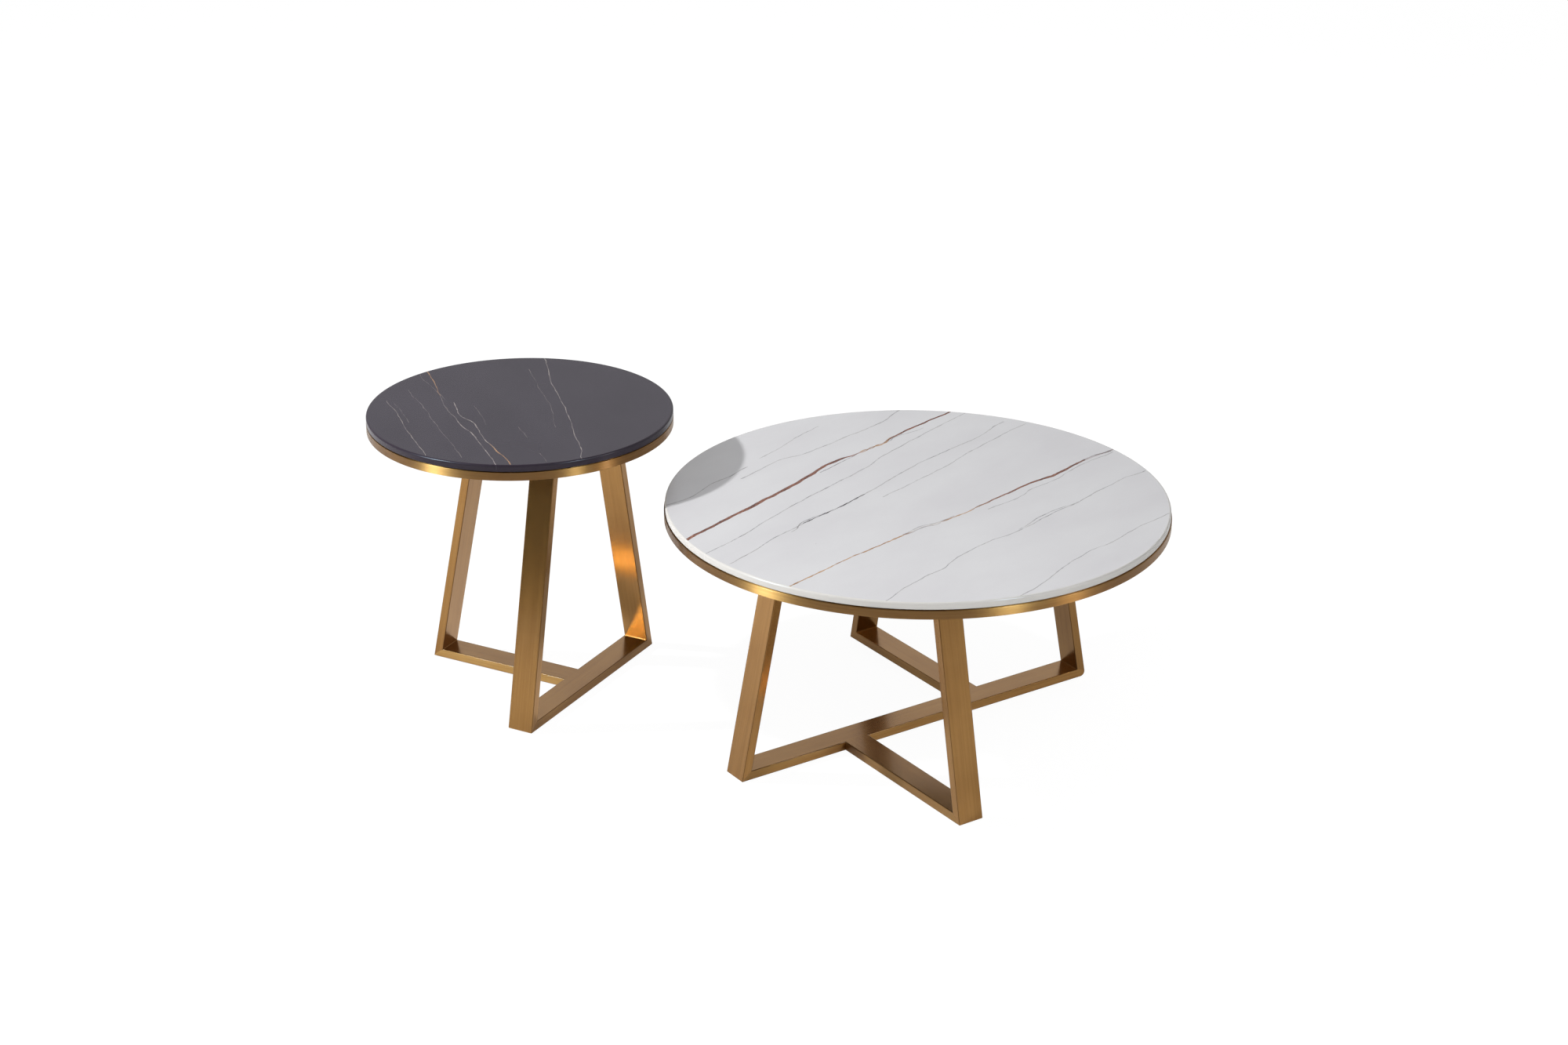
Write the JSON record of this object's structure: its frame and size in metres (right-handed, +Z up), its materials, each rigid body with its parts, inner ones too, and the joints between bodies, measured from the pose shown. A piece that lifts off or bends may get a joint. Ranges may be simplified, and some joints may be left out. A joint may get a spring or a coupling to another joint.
{
  "type": "nesting tables",
  "caption": "Round low table and taller side table with stone tops in metal rims on flat-tube frames; the side table's top slides in over the low table.",
  "frame": {"origin": "on the floor, in the middle of the length and width that the pair stands in", "axes": "+X from the small table's centre to the large table's centre, +Z up"},
  "size_m": [1.3198, 0.8032, 0.478],
  "materials": {
    "white_stone": "polished",
    "dark_stone": "satin",
    "brushed_brass": "satin",
    "backing_board": "matte",
    "glide": "matte",
    "screw": "satin"
  },
  "bodies": {
    "large_table": {"large_top_slab": "white_stone", "large_backing_board": "backing_board", "large_rim": "brushed_brass", "large_top_rail": "brushed_brass", "large_top_stub_front": "brushed_brass", "large_top_stub_back": "brushed_brass", "large_leg_right": "brushed_brass", "large_leg_left": "brushed_brass", "large_leg_front": "brushed_brass", "large_leg_back": "brushed_brass", "large_base_rail": "brushed_brass", "large_base_stub_front": "brushed_brass", "large_base_stub_back": "brushed_brass", "large_glide_right": "glide", "large_glide_left": "glide", "large_glide_front": "glide", "large_glide_back": "glide", "large_screw_1": "screw", "large_screw_2": "screw", "large_screw_3": "screw", "large_screw_4": "screw", "large_screw_5": "screw", "large_screw_6": "screw", "large_screw_7": "screw", "large_screw_8": "screw"},
    "small_table": {"small_top_slab": "dark_stone", "small_backing_board": "backing_board", "small_rim": "brushed_brass", "small_top_rail": "brushed_brass", "small_top_stub_left": "brushed_brass", "small_leg_right": "brushed_brass", "small_leg_front": "brushed_brass", "small_leg_left": "brushed_brass", "small_base_rail": "brushed_brass", "small_base_stub_left": "brushed_brass", "small_glide_right": "glide", "small_glide_front": "glide", "small_glide_left": "glide", "small_screw_1": "screw", "small_screw_2": "screw", "small_screw_3": "screw", "small_screw_4": "screw", "small_screw_5": "screw", "small_screw_6": "screw"}
  },
  "joints": [
    {"name": "small_table_nest", "type": "slide", "parent": "large_table", "child": "small_table", "axis": [1, 0, 0], "range_m": [0, 0.12]}
  ]
}
